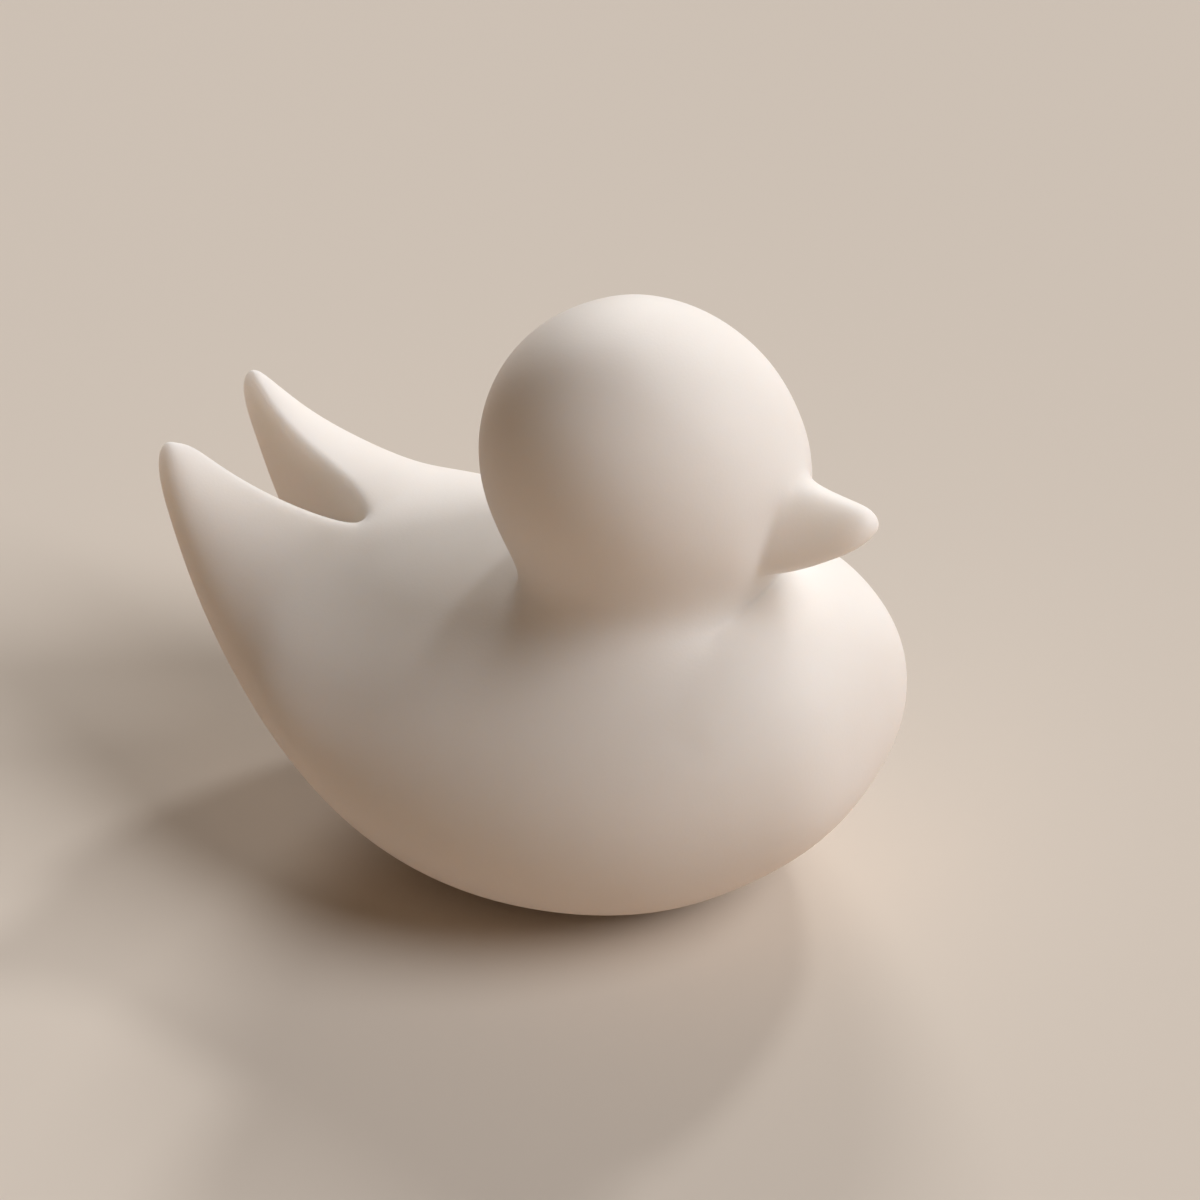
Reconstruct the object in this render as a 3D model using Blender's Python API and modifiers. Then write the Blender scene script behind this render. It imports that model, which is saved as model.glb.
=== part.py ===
"""A one-piece toy duck with a forked tail: a coarse cage under a subdivision surface, pressed flat below.

Lengths are in metres. X runs from the tail to the beak, Y to the duck's left and Z up from the table.
"""

import math
from collections import namedtuple

import bmesh
import bpy

# The body: its length from the tips of the tail to the breast, its width, and the tail's height
LENGTH = 0.0930
WIDTH = 0.0646
TAIL_HEIGHT = 0.0470
# The head is nearly a ball, and the beak sits on its front
HEAD_RADIUS = 0.0190
BEAK_LENGTH = 0.0118
BEAK_WIDTH = 0.0118
BEAK_HEIGHT = 0.0106

# Places below are shares of those sizes: x of LENGTH, counted from the tips of the tail, y and
# half widths of WIDTH, and z of TAIL_HEIGHT

# Cross-sections of the body from the breast to the root of the tail.  Each gives its highest and
# lowest point as (x, z), half its width, and how far up that width lies, as a share of its height
Section = namedtuple("Section", "top keel half_width widest")
BODY = (
    Section(top=(0.991, 0.826), keel=(0.893, 0.130), half_width=0.262, widest=0.51),
    Section(top=(0.868, 0.944), keel=(0.781, -0.016), half_width=0.415, widest=0.49),
    Section(top=(0.698, 0.956), keel=(0.640, -0.030), half_width=0.500, widest=0.45),
    Section(top=(0.534, 0.887), keel=(0.494, -0.018), half_width=0.506, widest=0.46),
    Section(top=(0.382, 0.779), keel=(0.369, 0.073), half_width=0.468, widest=0.49),
    Section(top=(0.260, 0.743), keel=(0.272, 0.220), half_width=0.413, widest=0.55),
)
# The neck stands on the sections from the second to the fourth
NECK_FIRST = 1
NECK_LAST = 3
# The foremost point of the breast, and the cage point beside it
BREAST_FRONT = (1.024, 0.0, 0.400)
BREAST_SIDE = (1.014, 0.184, 0.451)

# Cross-sections of one prong of the forked tail, with the prong's distance from the middle at its
# top, at its keel and between them
Prong = namedtuple("Prong", "top keel half_width widest gap_top gap_keel gap_middle")
PRONG = (
    Prong((0.225, 0.790), (0.190, 0.237), 0.355, 0.53, 0.049, 0.050, 0.040),
    Prong((0.148, 0.831), (0.143, 0.336), 0.306, 0.53, 0.076, 0.073, 0.067),
    Prong((0.071, 0.901), (0.079, 0.511), 0.243, 0.52, 0.100, 0.106, 0.097),
    Prong((0.019, 1.004), (0.013, 0.747), 0.178, 0.51, 0.134, 0.146, 0.130),
)
PRONG_TIP = (-0.014, 0.136, 0.925)
# The point where the two prongs part, in the middle plane
FORK = (0.239, 0.0, 0.505)

# The head's centre stands over HEAD_X, this share of its radius above the neck.  The head is a
# little longer than high and narrower than long, and its crown lies back by HEAD_LEAN of its height
HEAD_X = 0.666
HEAD_SEAT = 0.709
HEAD_LONG = 1.018
HEAD_WIDE = 0.955
HEAD_LEAN = 0.052
# The neck's fold: its height, and the reach of its oval round the head's axis, as shares of the radius
NECK_REAR_Z = 0.891
NECK_FRONT_Z = 0.921
NECK_REACH_REAR = 0.631
NECK_REACH_FRONT = 0.831
NECK_HALF_WIDTH = 0.916
NECK_DIP = 0.058

# Outlines across the beak, as shares of its length ahead of the head's front, of its width, and of
# its height above the head's centre
Slice = namedtuple("Slice", "reach_bottom bottom reach_top top half_width widest")
BEAK_ROOT = Slice(0.0, -0.815, 0.0, 0.368, 0.568, 0.41)
BEAK = (
    Slice(0.220, -0.650, 0.190, 0.292, 0.466, 0.36),
    Slice(0.510, -0.445, 0.510, 0.245, 0.339, 0.34),
    Slice(0.800, -0.215, 0.810, 0.215, 0.230, 0.38),
)
BEAK_TIP_Z = 0.045
# One point of each outline below its widest line and one above it: the share of the way to the
# widest line, or from it to the top, and the share of the width
BEAK_BELOW = (0.15, 0.88)
BEAK_ABOVE = (0.88, 0.46)
# How far the beak's root stands off the head
BEAK_ROOT_RISE = 0.0008

# How tight the edges of the fork and the crease round the beak are, from 0 for soft to 1 for sharp
FORK_TOP_CREASE = 0.45
FORK_KEEL_CREASE = 0.25
BEAK_CREASE = 0.45

# Half a ring has this many steps from its lowest to its highest point
STEPS = 6
# A ring of the cage stands this much outside the round skin that it carries
OUTSIDE = 3 / (2 + math.cos(math.pi / STEPS))
# The rings of the head by their latitude in degrees, the step between them, and the ring in the
# middle of the beak, which stops at the beak's side
HEAD_LATITUDES = (-30.0, -7.5, 15.0, 37.5, 62.0)
HEAD_STEP = 22.5
HEAD_BEAK_RING = 1
CROWN_LATITUDE = 78.0
SUBDIVISIONS = 2
# The block that cuts the flat base is this many times the body's length, width and tail's height
BLOCK_SIZE = (2.0, 2.0, 0.5)
MERGE_DISTANCE = 0.0001

VINYL_COLOUR = (0.84, 0.82, 0.79, 1.0)
VINYL_ROUGHNESS = 0.6


def clear_scene():
    for thing in list(bpy.data.objects):
        bpy.data.objects.remove(thing, do_unlink=True)


def half_ring(low, high, half_width, widest=0.5, inner=None, dip=0.0):
    """Points on the +Y half of a rounded section from low to high, both (x, z)."""
    points = []
    for step in range(STEPS + 1):
        angle = math.pi * step / STEPS
        share = (1 - math.cos(angle)) / 2
        share += (widest - 0.5) * 4 * share * (1 - share)
        if inner is None:
            y = OUTSIDE * half_width * math.sin(angle)
            share = 0.5 + (share - 0.5) * OUTSIDE
        else:
            wall = inner[0] + (inner[1] - inner[0]) * share
            y = wall + (half_width - wall) * math.sin(angle)
        x = low[0] + (high[0] - low[0]) * share
        z = low[1] + (high[1] - low[1]) * share - dip * math.sin(angle)
        points.append((x, y, z))
    return points


def body_point(x, y, z):
    """Metres for a point given as shares of the body's length, width and height."""
    return ((x - 0.5) * LENGTH, y * WIDTH, z * TAIL_HEIGHT)


def side_point(x, z):
    x, _, z = body_point(x, 0.0, z)
    return (x, z)


def add_points(cage, points):
    return [cage.verts.new(point) for point in points]


def bridge(cage, first, second):
    """Quads between two rows of points."""
    for a, b, c, d in zip(first, first[1:], second[1:], second):
        cage.faces.new((a, b, c, d))


def crease(cage, row, amount):
    layer = cage.edges.layers.float["crease_edge"]
    for a, b in zip(row, row[1:]):
        cage.edges.get((a, b))[layer] = amount


def add_body(cage):
    """The body's half rings; the middle ones stop at the shoulder, where the neck stands."""
    rings = []
    for number, section in enumerate(BODY):
        keel, top = side_point(*section.keel), side_point(*section.top)
        points = half_ring(keel, top, section.half_width * WIDTH, section.widest)
        under_neck = NECK_FIRST < number < NECK_LAST
        rings.append(add_points(cage, points[:STEPS - 1] if under_neck else points))
    for number, (ring, after) in enumerate(zip(rings, rings[1:])):
        count = STEPS - 1 if NECK_FIRST <= number < NECK_LAST else STEPS + 1
        bridge(cage, ring[:count], after[:count])
    return rings


def add_breast(cage, ring):
    """Closes the body in front of its first ring."""
    front, side = add_points(cage, (body_point(*BREAST_FRONT), body_point(*BREAST_SIDE)))
    bridge(cage, (front, side), (ring[0], ring[1]))
    bridge(cage, (side, ring[3]), (ring[1], ring[2]))
    bridge(cage, (ring[6], ring[5]), (front, side))
    bridge(cage, (ring[5], ring[4]), (side, ring[3]))


def head_centre():
    x, neck_z = side_point(HEAD_X, (NECK_REAR_Z + NECK_FRONT_Z) / 2)
    return (x, neck_z + HEAD_SEAT * HEAD_RADIUS)


def head_point(forward, side, up):
    """Metres for a point given from the head's centre as shares of its radius."""
    centre_x, centre_z = head_centre()
    x = centre_x + (forward * HEAD_LONG - up * HEAD_LEAN) * HEAD_RADIUS
    return (x, side * HEAD_WIDE * HEAD_RADIUS, centre_z + up * HEAD_RADIUS)


def head_ring(latitude):
    """A level half ring of the head, from its rear to its front."""
    cage_radius = 3 / (2 + math.cos(math.radians(HEAD_STEP)))
    reach = cage_radius * math.cos(math.radians(latitude))
    up = cage_radius * math.sin(math.radians(latitude))
    return [head_point(x, y, up) for x, y, _ in half_ring((-reach, 0.0), (reach, 0.0), reach)]


def neck_ring():
    centre_x, _ = head_centre()
    return half_ring(
        (centre_x - NECK_REACH_REAR * HEAD_RADIUS, NECK_REAR_Z * TAIL_HEIGHT),
        (centre_x + NECK_REACH_FRONT * HEAD_RADIUS, NECK_FRONT_Z * TAIL_HEIGHT),
        NECK_HALF_WIDTH * HEAD_RADIUS,
        dip=NECK_DIP * HEAD_RADIUS,
    )


def add_head(cage, body):
    """Neck and head on the shoulder's edge; leaves a hole for the beak and returns its edge."""
    rear, front = body[NECK_LAST], body[NECK_FIRST]
    between = [ring[4] for ring in body[NECK_LAST - 1:NECK_FIRST:-1]]
    shoulder = [rear[6], rear[5], rear[4]] + between + [front[4], front[5], front[6]]
    rows = [shoulder, add_points(cage, neck_ring())]
    for number, latitude in enumerate(HEAD_LATITUDES):
        points = head_ring(latitude)
        rows.append(add_points(cage, points[:STEPS] if number == HEAD_BEAK_RING else points))
    low, middle, high = rows[2:5]
    for row, after in zip(rows, rows[1:]):
        count = STEPS if middle in (row, after) else STEPS + 1
        bridge(cage, after[:count], row[:count])
    add_crown(cage, rows[-1])
    return [low[6], low[5], middle[5], high[5], high[6]]


def add_crown(cage, ring):
    """Closes the head above its highest ring."""
    crown = math.radians(CROWN_LATITUDE)
    pole, side = add_points(cage, (
        head_point(0.0, 0.0, OUTSIDE),
        head_point(0.0, OUTSIDE * math.cos(crown), OUTSIDE * math.sin(crown)),
    ))
    bridge(cage, (ring[0], ring[1]), (pole, side))
    bridge(cage, (ring[1], ring[2]), (side, ring[3]))
    bridge(cage, (pole, side), (ring[6], ring[5]))
    bridge(cage, (side, ring[3]), (ring[5], ring[4]))


def beak_outline(part):
    """Five (y, z, share of height) points up the side of the beak, z from the head's centre."""
    below, above = BEAK_BELOW, BEAK_ABOVE
    shares = (0.0, part.widest * below[0], part.widest, part.widest + (1 - part.widest) * above[0], 1.0)
    widths = (0.0, below[1], 1.0, above[1], 0.0)
    bottom, height = part.bottom * BEAK_HEIGHT, (part.top - part.bottom) * BEAK_HEIGHT
    half_width = part.half_width * BEAK_WIDTH
    return [(half_width * width, bottom + height * share, share) for width, share in zip(widths, shares)]


def add_beak(cage, hole):
    """A tapering bill, wide below and narrow above, with a tight crease where its sides meet the head."""
    centre_x, centre_z = head_centre()
    root = []
    for y, z, _ in beak_outline(BEAK_ROOT):
        side, up = y / (HEAD_WIDE * HEAD_RADIUS), z / HEAD_RADIUS
        x, _, _ = head_point(math.sqrt(1 - side ** 2 - up ** 2), side, up)
        root.append((x + BEAK_ROOT_RISE, y, centre_z + z))
    rows = [hole, add_points(cage, root)]
    front, _, _ = head_point(1.0, 0.0, 0.0)
    for part in BEAK:
        points = []
        for y, z, share in beak_outline(part):
            reach = part.reach_bottom + (part.reach_top - part.reach_bottom) * share
            points.append((front + reach * BEAK_LENGTH, y, centre_z + z))
        rows.append(add_points(cage, points))
    for row, after in zip(rows, rows[1:]):
        bridge(cage, after, row)
    last = rows[-1]
    tip, = add_points(cage, [(front + BEAK_LENGTH, 0.0, centre_z + BEAK_TIP_Z * BEAK_HEIGHT)])
    bridge(cage, (tip, last[2]), (last[0], last[1]))
    bridge(cage, (last[4], last[3]), (tip, last[2]))
    crease(cage, rows[1][:-1], BEAK_CREASE)


def add_tail(cage, ring):
    """Parts the body's last ring into a prong on each side of the fork."""
    fork, = add_points(cage, [body_point(*FORK)])
    loop = ring + [fork]
    top_edge, keel_edge = [ring[6]], []
    for part in PRONG:
        keel, top = side_point(*part.keel), side_point(*part.top)
        walls = (part.gap_keel * WIDTH, part.gap_top * WIDTH)
        points = half_ring(keel, top, part.half_width * WIDTH, part.widest, inner=walls)
        middle = ((keel[0] + top[0]) / 2, part.gap_middle * WIDTH, (keel[1] + top[1]) / 2)
        after = add_points(cage, points + [middle])
        bridge(cage, loop + loop[:1], after + after[:1])
        top_edge.append(after[6])
        keel_edge.append(after[0])
        loop = after
    tip, = add_points(cage, [body_point(*PRONG_TIP)])
    closed = loop + loop[:1]
    for start in range(0, len(loop), 2):
        cage.faces.new((tip, closed[start], closed[start + 1], closed[start + 2]))
    crease(cage, top_edge, FORK_TOP_CREASE)
    crease(cage, keel_edge, FORK_KEEL_CREASE)


def duck_cage():
    """The left half of the cage, open at the middle."""
    cage = bmesh.new()
    cage.edges.layers.float.new("crease_edge")
    body = add_body(cage)
    add_breast(cage, body[0])
    hole = add_head(cage, body)
    add_beak(cage, hole)
    add_tail(cage, body[-1])
    bmesh.ops.recalc_face_normals(cage, faces=cage.faces)
    mesh = bpy.data.meshes.new("duck")
    cage.to_mesh(mesh)
    cage.free()
    for face in mesh.polygons:
        face.use_smooth = True
    return mesh


def base_cutter(collection):
    """A block whose top is the table; it takes off the round belly below, so the duck stands flat."""
    bpy.ops.mesh.primitive_cube_add(size=1.0)
    cutter = bpy.context.object
    cutter.name = "base_cutter"
    cutter.scale = [share * size for share, size in zip(BLOCK_SIZE, (LENGTH, WIDTH, TAIL_HEIGHT))]
    cutter.location.z = -cutter.scale.z / 2
    for owner in list(cutter.users_collection):
        owner.objects.unlink(cutter)
    collection.objects.link(cutter)
    cutter.hide_render = True
    cutter.display_type = "WIRE"
    return cutter


def soft_white():
    material = bpy.data.materials.new("soft_white_vinyl")
    material.use_nodes = True
    shader = material.node_tree.nodes["Principled BSDF"]
    shader.inputs["Base Color"].default_value = VINYL_COLOUR
    shader.inputs["Roughness"].default_value = VINYL_ROUGHNESS
    material.diffuse_color = VINYL_COLOUR
    return material


def centre_over_origin(duck):
    """Moves the cage so that the origin lies under the middle of the finished length."""
    finished = duck.evaluated_get(bpy.context.evaluated_depsgraph_get())
    along = [vertex.co.x for vertex in finished.data.vertices]
    middle = (min(along) + max(along)) / 2
    for vertex in duck.data.vertices:
        vertex.co.x -= middle


def build():
    clear_scene()
    objects = bpy.data.collections.new("rubber_duck")
    cutters = bpy.data.collections.new("cutters")
    bpy.context.scene.collection.children.link(objects)
    bpy.context.scene.collection.children.link(cutters)
    cutter = base_cutter(cutters)
    duck = bpy.data.objects.new("duck", duck_cage())
    objects.objects.link(duck)
    duck.data.materials.append(soft_white())
    mirror = duck.modifiers.new("other_half", "MIRROR")
    mirror.use_axis = (False, True, False)
    mirror.merge_threshold = MERGE_DISTANCE
    skin = duck.modifiers.new("skin", "SUBSURF")
    skin.levels = SUBDIVISIONS
    skin.render_levels = SUBDIVISIONS
    skin.use_limit_surface = True
    flat = duck.modifiers.new("flat_base", "BOOLEAN")
    flat.operation = "DIFFERENCE"
    flat.solver = "EXACT"
    flat.object = cutter
    centre_over_origin(duck)


build()
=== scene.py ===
import math
from collections import namedtuple

import bmesh
import bpy
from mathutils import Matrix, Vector


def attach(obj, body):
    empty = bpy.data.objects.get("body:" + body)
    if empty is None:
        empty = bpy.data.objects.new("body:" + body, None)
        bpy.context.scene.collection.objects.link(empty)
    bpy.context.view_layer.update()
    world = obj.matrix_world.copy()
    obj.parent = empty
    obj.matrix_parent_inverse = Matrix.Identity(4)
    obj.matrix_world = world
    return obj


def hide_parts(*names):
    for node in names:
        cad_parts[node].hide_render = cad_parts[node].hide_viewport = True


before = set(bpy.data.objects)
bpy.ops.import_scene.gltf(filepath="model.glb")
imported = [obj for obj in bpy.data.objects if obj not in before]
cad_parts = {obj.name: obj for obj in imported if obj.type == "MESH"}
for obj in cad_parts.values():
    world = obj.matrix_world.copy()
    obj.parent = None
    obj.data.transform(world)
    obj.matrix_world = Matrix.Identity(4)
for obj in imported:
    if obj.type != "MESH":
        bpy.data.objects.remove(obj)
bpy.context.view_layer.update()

# Where the photo was taken from, in metres and degrees, with the lens and the sensor in millimetres
CAMERA_PLACE = (0.19975, -0.34925, 0.31285)
CAMERA_AZIMUTH = 28.58
CAMERA_ELEVATION = 35.0
CAMERA_LENS = 122.06
CAMERA_SENSOR = 36.0
CAMERA_NEAREST = 0.01

# Studio lamps, far off and even over the floor: the direction that each stands in, in degrees from the
# beak towards the duck's left and up from the floor, how wide it looks from the duck in degrees, and
# its strength in watts on a square metre
Lamp = namedtuple("Lamp", "name azimuth elevation width strength colour")
LAMPS = (
    Lamp("softbox_ahead", 12, 42, 36, 2.18, (1.0, 0.98, 0.98)),
    Lamp("softbox_behind", 119, 27, 18, 1.16, (1.0, 0.965, 0.93)),
    Lamp("window_left", 91, 40, 7, 0.68, (1.0, 0.98, 0.96)),
    Lamp("softbox_near", 290, 50, 36, 0.20, (1.0, 0.66, 0.40)),
)
ROOM_LIGHT = (1.0, 0.70, 0.45)
ROOM_STRENGTH = 0.05
BACKDROP_COLOUR = (0.625, 0.55, 0.48)

# The floor is pale to the camera, and the light that it returns to the duck is warmer
FLOOR_COLOUR = (0.68, 0.625, 0.56)
FLOOR_BOUNCE = (0.66, 0.52, 0.41)
FLOOR_ROUGHNESS = 0.9
FLOOR_SPECULAR = 0.2
FLOOR_SIZE = 12.0

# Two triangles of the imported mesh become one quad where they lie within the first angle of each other
# and the quad's corners are within the second of square, and those that carry on a grid come first
WELD_DISTANCE = 1e-6
SAME_FACE_ANGLE = math.radians(60)
SAME_SHAPE_ANGLE = math.radians(90)
GRID_PREFERENCE = 2.0
ROUNDING_LEVELS = 2
FITTING_ROUNDS = 10

# The flat base: its points lie under this height, and its faces' normals point down past this value
BASE_TOP = 1e-5
BASE_FACING = -0.99
RIM_CREASE = 1.0

# Vinyl: two tones that drift into each other, a fine grain, and light that sinks in and comes out warmer
VINYL_DARKER = (0.825, 0.80, 0.77)
VINYL_LIGHTER = (0.855, 0.835, 0.81)
VINYL_SPECULAR = 0.4
DRIFT_PER_METRE = 45.0
DRIFT_DETAIL = 4.0
DRIFT_RANGE = (0.3, 0.7)
GRAIN_PER_METRE = 2600.0
GRAIN_DETAIL = 3.0
GRAIN_DEPTH = 0.0001
GRAIN_STRENGTH = 0.12
ROUGHNESS_RANGE = (0.50, 0.66)
SINK_WEIGHT = 1.0
SINK_DEPTH = 0.006
SINK_COLOUR = (1.0, 0.92, 0.84)


def crease_base_rim(mesh):
    """Keeps the rim of the flat base sharp when the skin is rounded."""
    crease = mesh.edges.layers.float.new("crease_edge")
    for edge in mesh.edges:
        if all(vertex.co.z < BASE_TOP for vertex in edge.verts):
            down = [face.normal.z < BASE_FACING for face in edge.link_faces]
            if any(down) and not all(down):
                edge[crease] = RIM_CREASE


def quad_skin(packed):
    """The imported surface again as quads, so that it can be rounded further."""
    mesh = bmesh.new()
    mesh.from_mesh(packed.data)
    bmesh.ops.remove_doubles(mesh, verts=mesh.verts, dist=WELD_DISTANCE)
    bmesh.ops.join_triangles(
        mesh,
        faces=mesh.faces,
        angle_face_threshold=SAME_FACE_ANGLE,
        angle_shape_threshold=SAME_SHAPE_ANGLE,
        topology_influence=GRID_PREFERENCE,
    )
    crease_base_rim(mesh)
    data = bpy.data.meshes.new("duck_skin")
    mesh.to_mesh(data)
    mesh.free()
    for face in data.polygons:
        face.use_smooth = True
    piece = bpy.data.objects.new("duck_skin", data)
    bpy.context.scene.collection.objects.link(piece)
    return piece


def rounded_mesh(piece):
    """The mesh with its modifiers, which lists the points of the mesh without them first."""
    return piece.evaluated_get(bpy.context.evaluated_depsgraph_get()).data


def round_through_points(piece):
    """Rounds the piece so that its surface still passes through its points, with none below the base."""
    rounding = piece.modifiers.new("rounding", "SUBSURF")
    rounding.levels = rounding.render_levels = ROUNDING_LEVELS
    points = piece.data.vertices
    wanted = [point.co.copy() for point in points]
    for _ in range(FITTING_ROUNDS):
        for point, target, reached in zip(points, wanted, rounded_mesh(piece).vertices):
            point.co += target - reached.co
        piece.data.update()
    rounded = rounded_mesh(piece).copy()
    piece.modifiers.remove(rounding)
    piece.data = rounded
    for point in rounded.vertices:
        point.co.z = max(point.co.z, 0.0)


def set_inputs(tree, node, inputs):
    """Gives each input, by its name or number, a number or colour, or the socket that feeds it."""
    for key, value in inputs.items():
        if isinstance(value, bpy.types.NodeSocket):
            tree.links.new(value, node.inputs[key])
        else:
            node.inputs[key].default_value = value


def add_node(tree, kind, inputs, **settings):
    """A shader node with its settings and inputs."""
    node = tree.nodes.new(kind)
    for name, value in settings.items():
        setattr(node, name, value)
    set_inputs(tree, node, inputs)
    return node


def mixed_colour(tree, share, first, second):
    """The socket of a colour that goes from the first to the second as the share goes from 0 to 1."""
    inputs = {"Factor": share, "A": (*first, 1.0), "B": (*second, 1.0)}
    return add_node(tree, "ShaderNodeMix", inputs, data_type="RGBA").outputs["Result"]


def new_material(name):
    """A material, its node tree and its shader."""
    material = bpy.data.materials.new(name)
    material.use_nodes = True
    return material, material.node_tree, material.node_tree.nodes["Principled BSDF"]


def soft_vinyl():
    """Matt white vinyl, the one material of the duck."""
    material, tree, shader = new_material("soft_white_vinyl")
    place = tree.nodes.new("ShaderNodeTexCoord").outputs["Object"]

    drift = add_node(
        tree,
        "ShaderNodeTexNoise",
        {"Vector": place, "Scale": DRIFT_PER_METRE, "Detail": DRIFT_DETAIL},
    )
    tone = add_node(
        tree,
        "ShaderNodeMapRange",
        {"Value": drift.outputs["Fac"], "From Min": DRIFT_RANGE[0], "From Max": DRIFT_RANGE[1]},
    )
    grain = add_node(
        tree,
        "ShaderNodeTexNoise",
        {"Vector": place, "Scale": GRAIN_PER_METRE, "Detail": GRAIN_DETAIL},
    )
    roughness = add_node(
        tree,
        "ShaderNodeMapRange",
        {"Value": grain.outputs["Fac"], "To Min": ROUGHNESS_RANGE[0], "To Max": ROUGHNESS_RANGE[1]},
    )
    bump = add_node(
        tree,
        "ShaderNodeBump",
        {"Height": grain.outputs["Fac"], "Strength": GRAIN_STRENGTH, "Distance": GRAIN_DEPTH},
    )
    set_inputs(
        tree,
        shader,
        {
            "Base Color": mixed_colour(tree, tone.outputs["Result"], VINYL_DARKER, VINYL_LIGHTER),
            "Roughness": roughness.outputs["Result"],
            "Normal": bump.outputs["Normal"],
            "Specular IOR Level": VINYL_SPECULAR,
            "Subsurface Weight": SINK_WEIGHT,
            "Subsurface Radius": SINK_COLOUR,
            "Subsurface Scale": SINK_DEPTH,
        },
    )
    return material


def add_floor():
    bpy.ops.mesh.primitive_plane_add(size=FLOOR_SIZE)
    plane = bpy.context.object
    plane.name = "floor"
    material, tree, shader = new_material("pale_floor")
    seen = tree.nodes.new("ShaderNodeLightPath").outputs["Is Camera Ray"]
    set_inputs(
        tree,
        shader,
        {
            "Base Color": mixed_colour(tree, seen, FLOOR_BOUNCE, FLOOR_COLOUR),
            "Roughness": FLOOR_ROUGHNESS,
            "Specular IOR Level": FLOOR_SPECULAR,
        },
    )
    plane.data.materials.append(material)


def add_lamps():
    for row in LAMPS:
        lamp = bpy.data.objects.new(row.name, bpy.data.lights.new(row.name, "SUN"))
        lamp.data.angle = math.radians(row.width)
        lamp.data.energy = row.strength
        lamp.data.color = row.colour
        turn, rise = math.radians(row.azimuth), math.radians(row.elevation)
        reach = math.cos(rise)
        towards = Vector((math.cos(turn) * reach, math.sin(turn) * reach, math.sin(rise)))
        lamp.rotation_euler = towards.to_track_quat("Z", "Y").to_euler()
        bpy.context.scene.collection.objects.link(lamp)


def add_room():
    """A weak even light from all round, and a pale backdrop behind the floor's edge."""
    world = bpy.data.worlds.new("soft_room")
    world.use_nodes = True
    tree = world.node_tree
    light = tree.nodes["Background"]
    set_inputs(tree, light, {"Color": (*ROOM_LIGHT, 1.0), "Strength": ROOM_STRENGTH})
    backdrop = add_node(tree, "ShaderNodeBackground", {"Color": (*BACKDROP_COLOUR, 1.0), "Strength": 1.0})
    rays = tree.nodes.new("ShaderNodeLightPath").outputs
    seen = rays["Is Camera Ray"]
    for kind in ("Is Glossy Ray", "Is Transmission Ray"):
        seen = add_node(tree, "ShaderNodeMath", {0: seen, 1: rays[kind]}, operation="MAXIMUM").outputs[0]
    mixed = add_node(tree, "ShaderNodeMixShader", {0: seen, 1: light.outputs[0], 2: backdrop.outputs[0]})
    set_inputs(tree, tree.nodes["World Output"], {"Surface": mixed.outputs[0]})
    bpy.context.scene.world = world


def add_camera():
    eye = bpy.data.objects.new("photo_camera", bpy.data.cameras.new("photo_camera"))
    eye.data.lens = CAMERA_LENS
    eye.data.sensor_width = CAMERA_SENSOR
    eye.data.clip_start = CAMERA_NEAREST
    eye.location = CAMERA_PLACE
    eye.rotation_euler = (math.radians(90.0 - CAMERA_ELEVATION), 0.0, math.radians(CAMERA_AZIMUTH))
    bpy.context.scene.collection.objects.link(eye)
    bpy.context.scene.camera = eye


skin = quad_skin(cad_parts["duck"])
round_through_points(skin)
skin.data.materials.append(soft_vinyl())
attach(skin, "root")
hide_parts("duck")
add_floor()
add_lamps()
add_room()
add_camera()
bpy.context.scene.view_settings.view_transform = "Standard"
